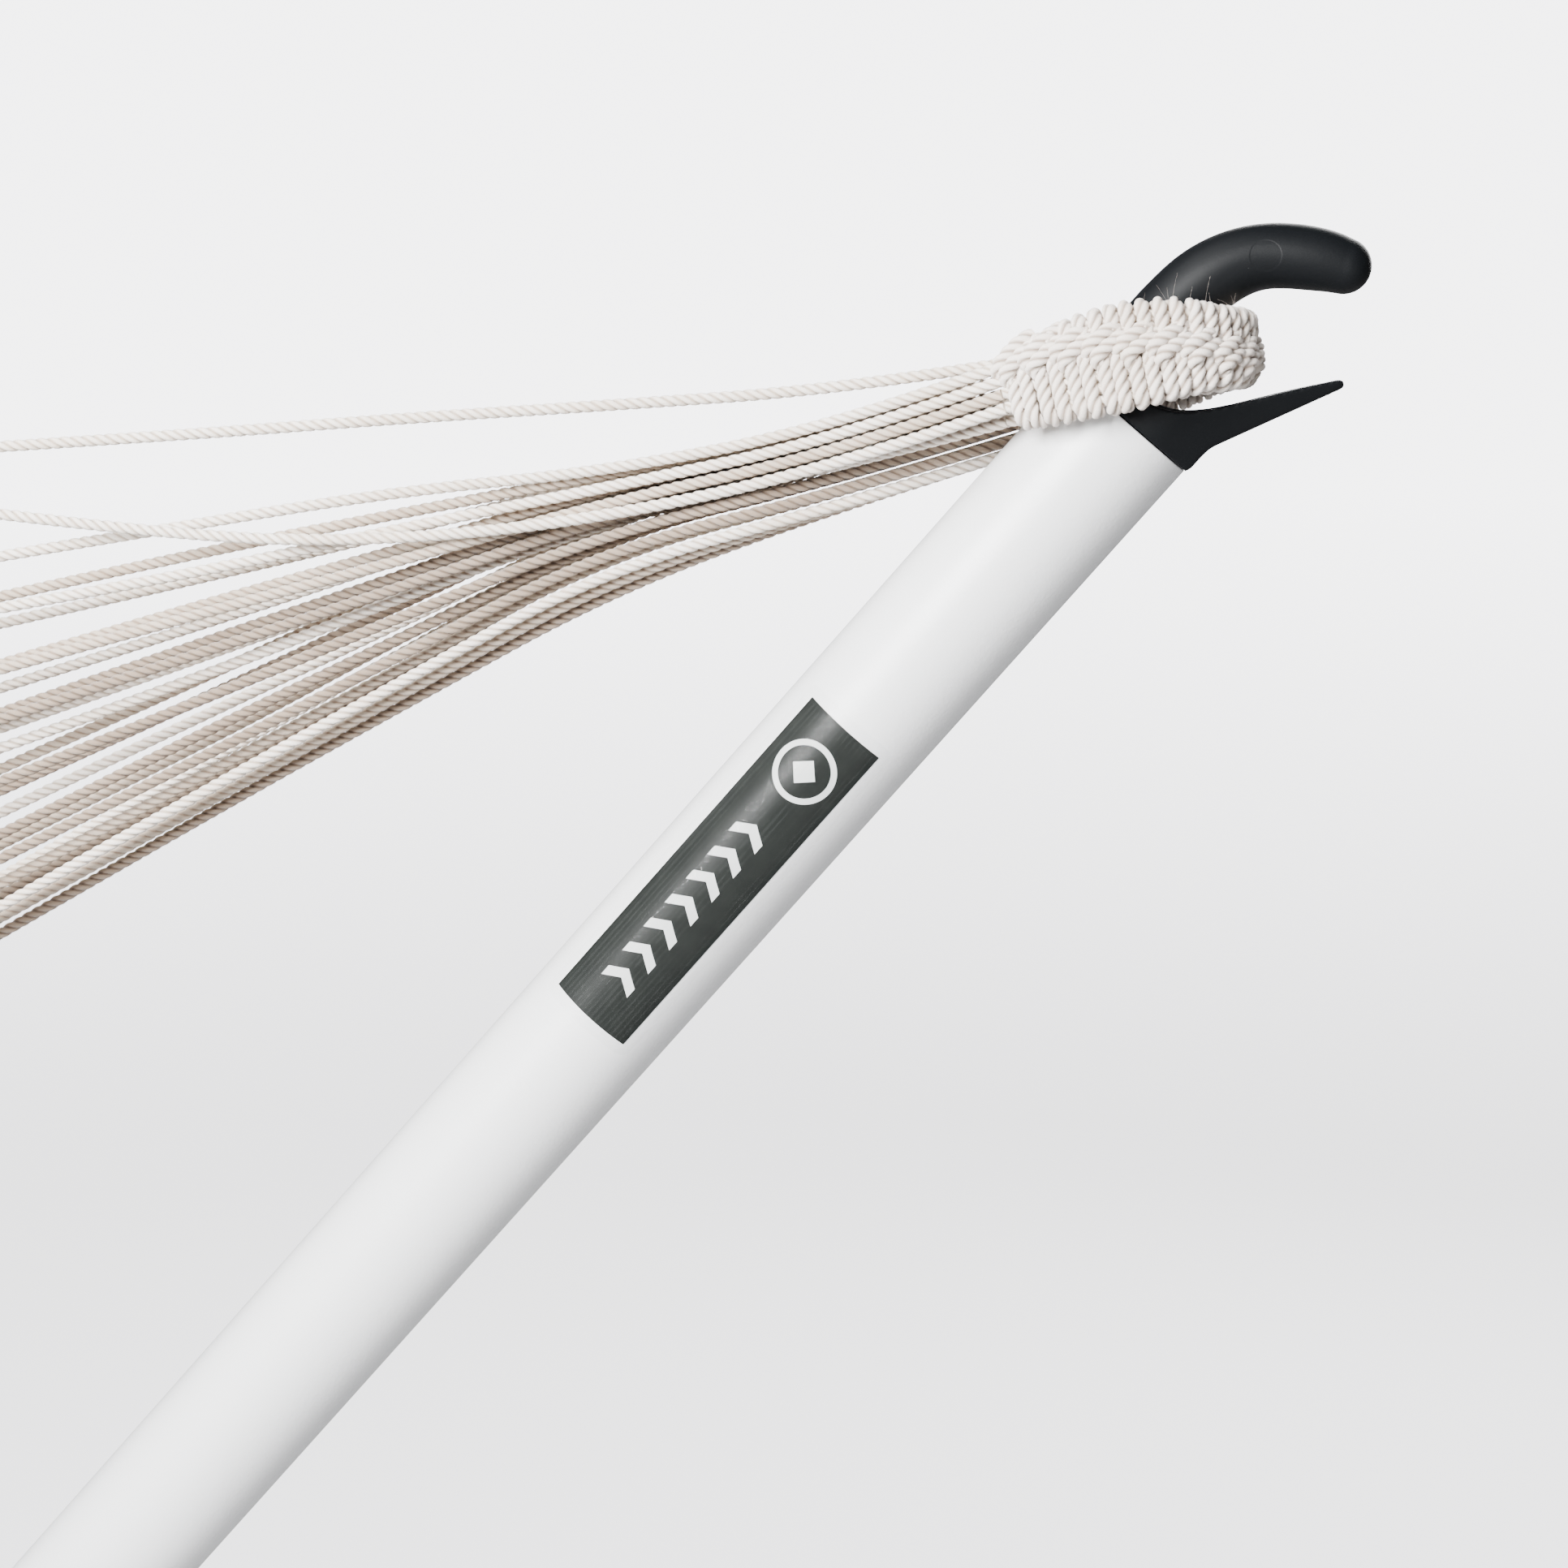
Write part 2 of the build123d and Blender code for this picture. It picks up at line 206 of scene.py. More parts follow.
def spread_evenly(places, spacing):
    """The same line with its points an even distance apart."""
    places = np.asarray(places, float)
    steps = np.linalg.norm(np.diff(places, axis=0), axis=1)
    travelled = np.concatenate([[0], np.cumsum(steps)])
    count = max(3, round(travelled[-1] / spacing) + 1)
    marks = np.linspace(0, travelled[-1], count)
    return np.column_stack([np.interp(marks, travelled, places[:, i]) for i in range(3)])


def line_length(places):
    """Length of a line given by its points."""
    return float(np.linalg.norm(np.diff(places, axis=0), axis=1).sum())


# %% [markdown]
# ## Rope: the laid strands
# The cord is three cotton strands twisted together. Three separate tubes would be heavy and
# would need their own helices. Instead a section with three lobes is swept along the line as
# the curve's bevel, and each point's tilt turns the section, one turn for each lay. The grooves
# between the lobes then run round the cord just as the grooves between real strands do.

# %% Laid rope
cord_radius = 0.0021
cord_lay = 0.012  # length of one full turn of the strands
strand_count = 3
ring_spacing = 0.0011


def lobed_section(name, radius, lobes, sides, groove):
    """Closed flat curve with rounded lobes and sharp grooves, for a curve's bevel."""
    curve = bpy.data.curves.new(name, "CURVE")
    curve.dimensions = "2D"
    spline = curve.splines.new("POLY")
    spline.points.add(sides - 1)
    for i, point in enumerate(spline.points):
        angle = 2 * math.pi * i / sides
        swell = abs(math.cos(lobes * angle / 2)) ** 0.7
        reach = radius * (groove + (1 - groove) * swell)
        point.co = (reach * math.cos(angle), reach * math.sin(angle), 0, 1)
    spline.use_cyclic_u = True
    section = bpy.data.objects.new(name, curve)
    bpy.context.scene.collection.objects.link(section)
    return section


def laid_rope(name, lines, section, lay, phases=None, sizes=None):
    """Twisted rope along each line: the section turns once in each lay. Returns one mesh object."""
    curve = bpy.data.curves.new(name, "CURVE")
    curve.dimensions = "3D"
    curve.bevel_mode = "OBJECT"
    curve.bevel_object = section
    curve.use_fill_caps = True
    for number, line in enumerate(lines):
        spline = curve.splines.new("POLY")
        spline.points.add(len(line) - 1)
        steps = np.linalg.norm(np.diff(line, axis=0), axis=1)
        travelled = np.concatenate([[0], np.cumsum(steps)])
        phase = phases[number] if phases else 0.0
        size = sizes[number] if sizes else 1.0
        for i, point in enumerate(spline.points):
            point.co = (*line[i], 1)
            turn = phase + 2 * math.pi * travelled[i] / lay
            point.tilt = math.remainder(turn, 2 * math.pi)
            point.radius = size if np.isscalar(size) else size[i]
    rope = bpy.data.objects.new(name, curve)
    bpy.context.scene.collection.objects.link(rope)
    pick(rope)
    bpy.ops.object.convert(target="MESH")
    rope = bpy.context.view_layer.objects.active
    bpy.ops.object.shade_smooth()
    return rope


cord_section = lobed_section("cord_section", cord_radius, strand_count, 18, 0.64)
print("cord", round(2000 * cord_radius, 1), "mm across, lay", round(1000 * cord_lay, 1), "mm")

# %% [markdown]
# ## Cotton
# Undyed cotton is a warm off-white, rough, with a faint sheen from its fibres. Colour varies
# slowly along a cord and finely between fibres, and the grooves between the strands are darkened
# with painted shade. All the cotton finishes use the same effect, so it is a node group that puts
# out a colour and a normal. The group takes the two colours it varies between and the colour of
# the painted shade in the grooves.
# A swept section's UV map runs once round the cord, so it says where the grooves are. The sheen
# is one number for the whole surface, so it is set on each shader itself.

# %% Cotton effect
def make_cotton_group():
    """Shader group: varied cotton colour, painted shade in the grooves, and fibre normal."""
    group = bpy.data.node_groups.new("cotton_fibre", "ShaderNodeTree")
    face = group.interface
    face.new_socket("Clean", in_out="INPUT", socket_type="NodeSocketColor")
    face.new_socket("Aged", in_out="INPUT", socket_type="NodeSocketColor")
    face.new_socket("Groove Shade", in_out="INPUT", socket_type="NodeSocketColor")
    face.new_socket("Fibre", in_out="INPUT", socket_type="NodeSocketFloat")
    face.new_socket("Color", in_out="OUTPUT", socket_type="NodeSocketColor")
    face.new_socket("Normal", in_out="OUTPUT", socket_type="NodeSocketVector")
    start = group.nodes.new("NodeGroupInput")
    end = group.nodes.new("NodeGroupOutput")
    place = add_node(group, "ShaderNodeTexCoord").outputs["Object"]
    slow = noise(group, place, 28, 2).outputs[0]
    fine = noise(group, place, 2600, 3, 0.6).outputs[0]
    share = ramp(group, slow, 0.42, 0.68)
    base = blend_colour(group, share, start.outputs["Clean"], start.outputs["Aged"])
    around = add_node(group, "ShaderNodeUVMap", uv_map="UVMap").outputs["UV"]
    turn = add_node(group, "ShaderNodeSeparateXYZ", {"Vector": around}).outputs["Y"]
    strands = add_node(group, "ShaderNodeMath", {0: turn, 1: float(strand_count)}, operation="MULTIPLY")
    # 0 on a strand's crest and 0.5 in the groove beside it
    lobe = add_node(group, "ShaderNodeMath", {0: strands.outputs[0], 1: 0.5}, operation="PINGPONG")
    # painted shade: the colour darkens towards the groove between two strands
    depth = ramp(group, lobe.outputs[0], 0.22, 0.5)
    base = blend_colour(group, depth, base, start.outputs["Groove Shade"])
    flecks = ramp(group, fine, 0.30, 0.72, 0.90, 1.04)
    shaded = add_node(group, "ShaderNodeVectorMath", operation="SCALE")
    group.links.new(base, shaded.inputs[0])
    group.links.new(flecks, shaded.inputs["Scale"])
    bump = add_node(group, "ShaderNodeBump", {"Distance": 0.0004, "Height": fine})
    group.links.new(start.outputs["Fibre"], bump.inputs["Strength"])
    group.links.new(shaded.outputs[0], end.inputs["Color"])
    group.links.new(bump.outputs["Normal"], end.inputs["Normal"])
    return group


cotton_group = make_cotton_group()
fibre_strength = 0.5
stain_tan = (0.42, 0.24, 0.12, 1)


def make_cotton(name, clean, aged, groove, marks=()):
    """Cotton finish with painted shade of the groove colour in its grooves; marks are small tan stains
    as (place, radius).
    """
    sockets = {"Roughness": 0.95, "Sheen Weight": 0.35, "Sheen Roughness": 0.6, "IOR": 1.4}
    material, tree, shader = start_material(name, sockets)
    shader.inputs["Specular IOR Level"].default_value = 0.2
    effect = add_node(tree, "ShaderNodeGroup", node_tree=cotton_group)
    effect.inputs["Clean"].default_value = (*clean, 1)
    effect.inputs["Aged"].default_value = (*aged, 1)
    effect.inputs["Groove Shade"].default_value = (*groove, 1)
    effect.inputs["Fibre"].default_value = fibre_strength
    colour = effect.outputs["Color"]
    place = add_node(tree, "ShaderNodeTexCoord").outputs["Object"]
    for centre, radius in marks:
        away = add_node(tree, "ShaderNodeVectorMath", operation="DISTANCE")
        tree.links.new(place, away.inputs[0])
        away.inputs[1].default_value = centre
        blotch = noise(tree, place, 420, 2).outputs[0]
        near = ramp(tree, away.outputs["Value"], radius * 0.3, radius, 1.0, 0.0)
        patch = add_node(tree, "ShaderNodeMath", {0: near, 1: blotch}, operation="MULTIPLY")
        share = ramp(tree, patch.outputs[0], 0.25, 0.5, 0.0, 0.75)
        colour = blend_colour(tree, share, colour, stain_tan)
    tree.links.new(colour, shader.inputs["Base Color"])
    tree.links.new(effect.outputs["Normal"], shader.inputs["Normal"])
    return material


stains = [((0.030, -0.012, 0.357), 0.011), ((0.056, -0.010, 0.362), 0.006)]
cotton_light = make_cotton(
    "cotton_light", clean=(0.91, 0.84, 0.76), aged=(0.80, 0.71, 0.61), groove=(0.42, 0.33, 0.25)
)
# The next two are the same cotton darkened as painted shade, lighter and deeper, for cords that lie in
# shadow; the lighter one also carries two real tan stains.
cotton_painted_half_shade_stained = make_cotton(
    "cotton_painted_half_shade_stained", clean=(0.58, 0.485, 0.39), aged=(0.46, 0.37, 0.285), groove=(0.24, 0.17, 0.12),
    marks=stains,
)
cotton_painted_deep_shade = make_cotton(
    "cotton_painted_deep_shade", clean=(0.34, 0.26, 0.195), aged=(0.27, 0.20, 0.145), groove=(0.11, 0.075, 0.05)
)
cotton_hitch = make_cotton(
    "cotton_hitch", clean=(0.90, 0.82, 0.75), aged=(0.80, 0.705, 0.62), groove=(0.30, 0.225, 0.17)
)
print("cotton finishes:", *(m.name for m in (cotton_light, cotton_painted_half_shade_stained, cotton_painted_deep_shade, cotton_hitch)))

# %% [markdown]
# ## Cords: the routes
# Twenty-six cords leave the eye. Thirteen come from its near leg and thirteen from its far leg.
# Each list has the CAD route's own points, in metres, from the eye to the far end.

# %% Cord routes
cord_routes = [
    [
        (0.368, -0.016, 0.4845), (0.313, -0.005, 0.476), (0.235, -0.008, 0.4705),
        (0.164, -0.009, 0.466), (0.092, -0.01, 0.4605), (0.006, -0.012, 0.455),
    ],
    [
        (0.368, -0.0255, 0.4835), (0.313, -0.008, 0.464), (0.235, -0.005, 0.4485),
        (0.164, -0.005, 0.4415), (0.092, -0.007, 0.43), (-0.004, -0.006, 0.414),
    ],
    [
        (0.368, -0.021, 0.4835), (0.313, -0.0035, 0.464), (0.235, 0, 0.4475),
        (0.164, -0.001, 0.434), (0.092, -0.001, 0.42), (0.004, -0.002, 0.4005),
    ],
    [
        (0.3685, -0.0165, 0.479), (0.313, 0.001, 0.464), (0.235, 0.005, 0.446),
        (0.164, 0.005, 0.428), (0.092, 0.006, 0.411), (-0.01, 0.006, 0.388),
    ],
    [
        (0.3685, -0.0255, 0.479), (0.313, -0.008, 0.4595), (0.235, -0.005, 0.443),
        (0.164, -0.006, 0.429), (0.092, -0.009, 0.413), (-0.006, -0.012, 0.3955),
    ],
    [
        (0.3685, -0.021, 0.479), (0.313, -0.0035, 0.4595), (0.235, 0, 0.443),
        (0.164, 0, 0.422), (0.092, 0, 0.402), (0.004, 0, 0.376),
    ],
    [
        (0.369, -0.0165, 0.4745), (0.313, 0.001, 0.4595), (0.235, 0.0045, 0.4415),
        (0.164, 0.0055, 0.419), (0.092, 0.007, 0.395), (0.002, 0.008, 0.367),
    ],
    [
        (0.369, -0.0255, 0.4745), (0.313, -0.008, 0.455), (0.235, -0.005, 0.438),
        (0.164, -0.008, 0.418), (0.092, -0.011, 0.399), (-0.008, -0.014, 0.371),
    ],
    [
        (0.369, -0.021, 0.4745), (0.313, -0.0035, 0.455), (0.235, 0, 0.4385),
        (0.164, 0, 0.413), (0.092, 0, 0.389), (0.006, 0, 0.359),
    ],
    [
        (0.37, -0.0165, 0.47), (0.313, 0.001, 0.455), (0.235, 0.005, 0.437),
        (0.164, 0.006, 0.41), (0.092, 0.008, 0.384), (-0.012, 0.01, 0.3475),
    ],
    [
        (0.37, -0.0255, 0.47), (0.313, -0.008, 0.4505), (0.235, -0.01, 0.433),
        (0.164, -0.013, 0.425), (0.092, -0.016, 0.4255), (0.004, -0.018, 0.436),
    ],
    [
        (0.37, -0.021, 0.47), (0.313, -0.0035, 0.4505), (0.235, -0.001, 0.4335),
        (0.164, -0.004, 0.409), (0.092, -0.007, 0.3855), (-0.004, -0.01, 0.3535),
    ],
    [
        (0.37, -0.0165, 0.4655), (0.313, 0.001, 0.4505), (0.235, 0.004, 0.432),
        (0.164, 0.003, 0.406), (0.092, 0.003, 0.377), (0.004, 0.002, 0.346),
    ],
    [
        (0.37, 0.0165, 0.473), (0.313, 0.006, 0.459), (0.235, 0.0095, 0.442),
        (0.164, 0.011, 0.41), (0.092, 0.012, 0.377), (0.002, 0.014, 0.337),
    ],
    [
        (0.37, 0.021, 0.473), (0.313, 0.0105, 0.458), (0.235, 0.0115, 0.437),
        (0.164, 0.013, 0.404), (0.092, 0.016, 0.37), (-0.008, 0.02, 0.325),
    ],
    [
        (0.3705, 0.0165, 0.4685), (0.313, 0.006, 0.454), (0.235, 0.0095, 0.432),
        (0.164, 0.009, 0.3975), (0.092, 0.008, 0.364), (0.006, 0.008, 0.323),
    ],
    [
        (0.3705, 0.021, 0.4685), (0.313, 0.0105, 0.4515), (0.235, 0.009, 0.427),
        (0.164, 0.011, 0.393), (0.092, 0.013, 0.354), (-0.01, 0.016, 0.304),
    ],
    [
        (0.371, 0.0165, 0.464), (0.313, -0.0035, 0.446), (0.235, -0.005, 0.428),
        (0.164, -0.006, 0.399), (0.092, -0.007, 0.369), (-0.002, -0.008, 0.331),
    ],
    [
        (0.371, 0.021, 0.464), (0.313, 0.001, 0.446), (0.235, 0, 0.427),
        (0.164, 0.001, 0.392), (0.092, 0.001, 0.358), (0.004, 0.002, 0.314),
    ],
    [
        (0.371, 0.0255, 0.464), (0.313, 0.0055, 0.446), (0.235, 0.0045, 0.427),
        (0.164, 0.006, 0.387), (0.092, 0.008, 0.348), (0.004, 0.01, 0.2985),
    ],
    [
        (0.372, 0.0165, 0.4595), (0.313, -0.0055, 0.4415), (0.235, -0.005, 0.4225),
        (0.164, -0.008, 0.386), (0.092, -0.011, 0.349), (0.002, -0.014, 0.304),
    ],
    [
        (0.372, 0.021, 0.4595), (0.313, -0.001, 0.4415), (0.235, 0, 0.4205),
        (0.164, -0.001, 0.382), (0.092, -0.003, 0.343), (-0.01, -0.004, 0.2885),
    ],
    [
        (0.372, 0.0255, 0.4595), (0.313, 0.0035, 0.4415), (0.235, 0.0045, 0.4215),
        (0.164, 0.006, 0.381), (0.092, 0.007, 0.341), (-0.012, 0.008, 0.283),
    ],
    [
        (0.3715, 0.018, 0.455), (0.313, -0.0035, 0.437), (0.235, -0.005, 0.416),
        (0.164, -0.007, 0.377), (0.092, -0.009, 0.337), (0.006, -0.012, 0.2885),
    ],
    [
        (0.372, 0.0223, 0.455), (0.313, 0.001, 0.437), (0.235, 0, 0.412),
        (0.164, -0.001, 0.373), (0.092, -0.001, 0.333), (0.004, -0.002, 0.284),
    ],
    [
        (0.372, 0.0266, 0.455), (0.313, 0.0055, 0.437), (0.235, 0.0045, 0.408),
        (0.164, 0.005, 0.369), (0.092, 0.005, 0.329), (0.006, 0.006, 0.2795),
    ],
]
near_leg = 13
print(len(cord_routes), "cord routes")

# %% [markdown]
# ## Stopper knots
# Beyond the edge of the view each cord ends in a stopper knot. A real one is the cord wrapped
# over itself. It is modelled once and copied: two turns of cord lie side by side, each crossing
# over slightly, and the cord's own end runs through their middle.

# %% One stopper knot
turn_radius = 0.0021
turn_steps = 24


def make_knot():
    """One knot at the origin with its cord along X: two turns of cord side by side, and an end."""
    turns = []
    for side in (-1, 1):
        ring = []
        for step in range(turn_steps + 1):
            angle = 2 * math.pi * step / turn_steps
            along_x = cord_radius * side + 0.0014 * math.sin(angle / 2 + (0.6 if side > 0 else 0))
            ring.append((along_x, turn_radius * math.cos(angle), turn_radius * math.sin(angle)))
        turns.append(spread_evenly(ring, 0.0007))
    turns.append(spread_evenly([(-0.0045, 0, 0), (0.0045, 0, 0)], 0.001))
    return laid_rope("stopper_knot", turns, cord_section, cord_lay, sizes=[0.85, 0.85, 0.9])


knot_model = make_knot()
print("knot", len(knot_model.data.polygons), "faces")

# %% [markdown]
# ## Cords: the ropes
# Each route becomes its own piece, so a cord can be picked out by name. The knot's copy is
# turned to the cord's last direction and set just past its end. Each cord's smooth line is kept,
# so that its true length is measured.

# %% Ropes with their knots
# the cords in full light keep cotton's own colour; the rest get painted shade, deepest on those most in
# shadow
light_cords = {1, 2, 4, 5, 7, 10, 11, 13, 16, 20, 24}
deep_shade_cords = {9, 12, 15, 18, 19, 21, 23, 26}


def cord_cotton(number):
    """The cotton of a cord: its own colour, or darkened as painted shade where the cord lies in shadow.
    """
    if number in light_cords:
        return cotton_light
    return cotton_painted_deep_shade if number in deep_shade_cords else cotton_painted_half_shade_stained


knot_gap = 0.004  # from the cord's end to the middle of its knot
cord_lines = []
for number, route in enumerate(cord_routes, start=1):
    name = f"cord_{number:02d}"
    line = smooth_line(route, ring_spacing)
    cord_lines.append(line)
    rope = laid_rope(f"rope_{number:02d}", [line], cord_section, cord_lay, phases=[number * 1.3])
    dress(rope, cord_cotton(number))
    away = Vector(line[-1] - line[-2]).normalized()
    knot = knot_model.copy()
    knot.data = knot_model.data.copy()
    knot.name = f"knot_{number:02d}"
    bpy.context.scene.collection.objects.link(knot)
    turn = away.to_track_quat("X", "Z").to_matrix().to_4x4()
    knot.data.transform(Matrix.Translation(Vector(line[-1]) + away * knot_gap) @ turn)
    dress(knot, cord_cotton(number))
    settle(rope, "eye", "cotton", name)
    settle(knot, "eye", "cotton", "end_knots")
bpy.data.objects.remove(knot_model)
lengths = [line_length(line) for line in cord_lines]
print("cord lengths from", round(min(lengths), 4), "to", round(max(lengths), 4), "m")

# %% [markdown]
# ## The eye: its axes and its band
# The eye is a flat band of cords bent into a narrow U round the hook's neck. Everything on it is
# placed along the band, so the band comes first: stations give its place, its height, its
# thickness and its lean, as the CAD solid has them, and the height of the hitched ridge on its
# outer face. Between stations the values follow a smooth curve.

# %% Eye band
eye_rise = math.radians(9)
eye_x = Vector((math.cos(eye_rise), 0, math.sin(eye_rise)))
eye_z = Vector((-math.sin(eye_rise), 0, math.cos(eye_rise)))
eye_centre = tube_top + eye_x * 0.0057 + eye_z * 0.0190

# along the eye, across, up; band's height and thickness (mm); lean (degrees); ridge height (mm)
band_stations = [
    (-42, -21, -4.5, 26, 14, -8, 8.0),
    (-26, -29, -1.0, 33, 10, -12, 6.8),
    (-6, -31.5, 1.5, 37, 9.5, -12, 3.6),
    (14, -28.5, 2.0, 34, 10, -8, -0.6),
    (29, -18, -0.5, 29, 11, 0, -3.2),
    (35.0, 0, -1.5, 27, 11, 8, -3.4),
    (29, 18, -1.4, 27.2, 11, 0, -2.6),
    (14, 28.5, -3.7, 29.6, 10, -2, 0.5),
    (-6, 31.5, -8, 33, 9.5, 0, 3.5),
    (-26, 29.5, -12, 31, 10, 0, 5.5),
    (-42, 21, -14.5, 26, 14, 0, 6.5),
]


def smooth_table(rows, steps=40):
    """Rows of a smooth curve through every given row, as Catmull and Rom's formula has it."""
    rows = np.asarray(rows, float)
    rows = np.vstack([2 * rows[0] - rows[1], rows, 2 * rows[-1] - rows[-2]])
    made = []
    for p0, p1, p2, p3 in zip(rows, rows[1:], rows[2:], rows[3:]):
        for t in np.arange(steps) / steps:
            made.append(
                0.5 * (2 * p1 + (p2 - p0) * t + (2 * p0 - 5 * p1 + 4 * p2 - p3) * t**2
                       + (3 * p1 - p0 - 3 * p2 + p3) * t**3)
            )
    made.append(rows[-2])
    return np.array(made)


band_table = smooth_table(band_stations)
band_places = (
    np.array(eye_centre)
    + np.outer(band_table[:, 0], np.array(eye_x) / 1000)
    + np.outer(band_table[:, 1], (0, 0.001, 0))
    + np.outer(band_table[:, 2], np.array(eye_z) / 1000)
)
band_ahead = np.gradient(band_places, axis=0)
band_ahead /= np.linalg.norm(band_ahead, axis=1)[:, None]
band_marks = np.concatenate([[0], np.cumsum(np.linalg.norm(np.diff(band_places, axis=0), axis=1))])
band_length = band_marks[-1]


def band_at(s):
    """Band at s metres from its near end: place, outward, up, half height, half thickness, ridge."""
    def read(column):
        return float(np.interp(s, band_marks, column))
    place = Vector([read(band_places[:, i]) for i in range(3)])
    ahead = Vector([read(band_ahead[:, i]) for i in range(3)]).normalized()
    place += ahead * (s - min(max(s, 0), band_length))
    outward = ahead.cross(eye_z).normalized()
    up = outward.cross(ahead)
    lean = math.radians(read(band_table[:, 5]))
    leaned = outward * math.cos(lean) - up * math.sin(lean)
    return (
        place, leaned, leaned.cross(ahead), read(band_table[:, 3]) / 2000,
        read(band_table[:, 4]) / 2000, read(band_table[:, 6]) / 1000,
    )


print("band length", round(band_length, 4), "m")

# %% [markdown]
# ## The eye: wraps of the hitched cover
# The cover is a cord wound round the band. On the outer face every turn tucks under a ridge, so
# a wrap starts under the ridge, goes over the top, down the inner face and back up to the
# ridge. Below the ridge the wraps stand in pairs, and above it they are evenly spaced and lean
# the other way. Each wrap is kept off the steel tube by moving it straight out from its axis.

# %% Wraps
hitch_radius = 0.0026
hitch_lay = 0.0115
repeat_length = 0.0097
tube_clear = 0.0256 + hitch_radius


def clear_of_tube(place):
    """Move a point straight out from the tube's axis until the strand clears the tube."""
    along_tube = place.dot(tube_axis)
    out = place - tube_axis * along_tube
    if along_tube < tube_top.length + hitch_radius and out.length < tube_clear:
        place = tube_axis * along_tube + out.normalized() * tube_clear
    return place


def section_ring(half_high, half_thick, start):
    """Rounded outline of the band's section, from height start on its outer side, going up."""
    half_side = max(half_high - half_thick, 0.0005)
    ring = []
    for i in range(41):
        angle = math.pi * i / 40
        ring.append((half_thick * math.cos(angle), half_side + half_thick * math.sin(angle)))
    for i in range(41):
        angle = math.pi + math.pi * i / 40
        ring.append((half_thick * math.cos(angle), -half_side + half_thick * math.sin(angle)))
    ring = spread_evenly([(x, y, 0) for x, y in ring + ring[:1]], 0.0004)[:-1, :2]
    outer = ring[:, 0] > 0
    nearest = int(np.argmin(np.where(outer, abs(ring[:, 1] - start), 9)))
    return np.roll(ring, -nearest, axis=0)


def wrap_line(low_s, high_s, inset=hitch_radius):
    """One wrap: up from the ridge at high_s, round the inner face, and up to the ridge at low_s."""
    middle = 0.5 * (low_s + high_s)
    _, _, _, half_high, half_thick, ridge = band_at(middle)
    ring = section_ring(half_high - inset, half_thick - inset, ridge)
    count = len(ring)
    line = []
    for i in range(count + 1):
        share = i / count
        x, y = ring[i % count]
        s = high_s + (low_s - high_s) * min(1, share / 0.62)
        tuck = max(0, 1 - min(share, 1 - share) / 0.06)
        place, outward, up, *_ = band_at(s)
        point = place + outward * (x - 0.0026 * tuck**2) + up * y
        line.append(clear_of_tube(point))
    return spread_evenly(line, 0.0009)


band_margin = 0.003  # bare band at each end
low_place, low_pair_gap = 0.0018, 0.0046  # of the lower wraps in each repeat
high_place = 0.0026
unevenness = 0.0003
repeats = round((band_length - 2 * band_margin) / repeat_length)
repeat_step = (band_length - 2 * band_margin) / repeats
random.seed(7)
wrap_lines, wrap_phases = [], []
for k in range(repeats):
    start = band_margin + repeat_step * k
    for pair in (0, 1):
        low_s = start + low_place + low_pair_gap * pair + random.uniform(-unevenness, unevenness)
        high_s = start + high_place + repeat_step / 2 * pair + random.uniform(-unevenness, unevenness)
        wrap_lines.append(wrap_line(low_s, high_s))
        wrap_phases.append(random.uniform(0, 2 * math.pi))

hitch_section = lobed_section("hitch_section", hitch_radius, strand_count, 18, 0.68)
wraps = laid_rope("eye_wraps", wrap_lines, hitch_section, hitch_lay, wrap_phases)
dress(wraps, cotton_hitch)
settle(wraps, "eye", "braid_cotton", "eye_hitching")
print(len(wrap_lines), "wraps,", len(wraps.data.polygons), "faces")

# %% [markdown]
# ## The eye: stitches of the ridge
# Where the turns tuck under, the cord makes a ridge of slanting stitches, each of two strands
# side by side. A stitch comes out of the cover low down, swells over the next pair of wraps as
# it climbs to the right, and goes back in above. Each one lies a little over the one before it.

# %% Ridge stitches
pair_gap = 3.7  # between the two strands of a stitch, in mm
slant_along, slant_up = -0.62, 0.78  # the direction square to a stitch's slope
stitch_shape = [  # along the band, up from the ridge, out from the band's face, in mm
    (3.4, -5.2, -3.4), (1.2, -5.6, -0.6), (-0.4, -4.0, 1.5), (1.4, -2.2, 2.4), (4.6, 0.2, 2.0),
    (8.0, 2.8, 1.0), (10.6, 4.6, -0.8), (12.4, 6.0, -3.0),
]


def stitch_line(start, aside):
    """Centre line of one strand of a stitch; aside moves it square to its slope, in mm."""
    line = []
    for along_band, above, out in stitch_shape:
        s = start + (along_band + slant_along * aside) / 1000
        place, outward, up, _, half_thick, ridge = band_at(s)
        height = ridge + (above + slant_up * aside) / 1000
        point = place + outward * (half_thick - hitch_radius + out / 1000) + up * height
        line.append(clear_of_tube(point))
    return smooth_line(line, 0.0009)


stitch_lines, stitch_phases = [], []
for k in range(repeats):
    start = band_margin + repeat_step * k + random.uniform(-0.0004, 0.0004)
    for aside in (0.0, pair_gap):
        stitch_lines.append(stitch_line(start, aside))
        stitch_phases.append(random.uniform(0, 2 * math.pi))
stitches = laid_rope("eye_ridge", stitch_lines, hitch_section, hitch_lay, stitch_phases)
dress(stitches, cotton_hitch)
settle(stitches, "eye", "braid_cotton", "eye_hitching")
print(len(stitch_lines), "stitch strands,", len(stitches.data.polygons), "faces")

# %% [markdown]
# ## The eye: the cords inside it
# Between the pairs of wraps the cords of the band itself show. They are the same cords that
# leave the legs: each of thirteen starts where a near-leg cord starts, runs round the eye in
# its own place in the band, and ends where a far-leg cord starts.

# %% Cords inside the eye
column_cords = 7  # cords above one another; the band is two columns thick
lead_length = 0.020  # over which a cord settles into its place in the band


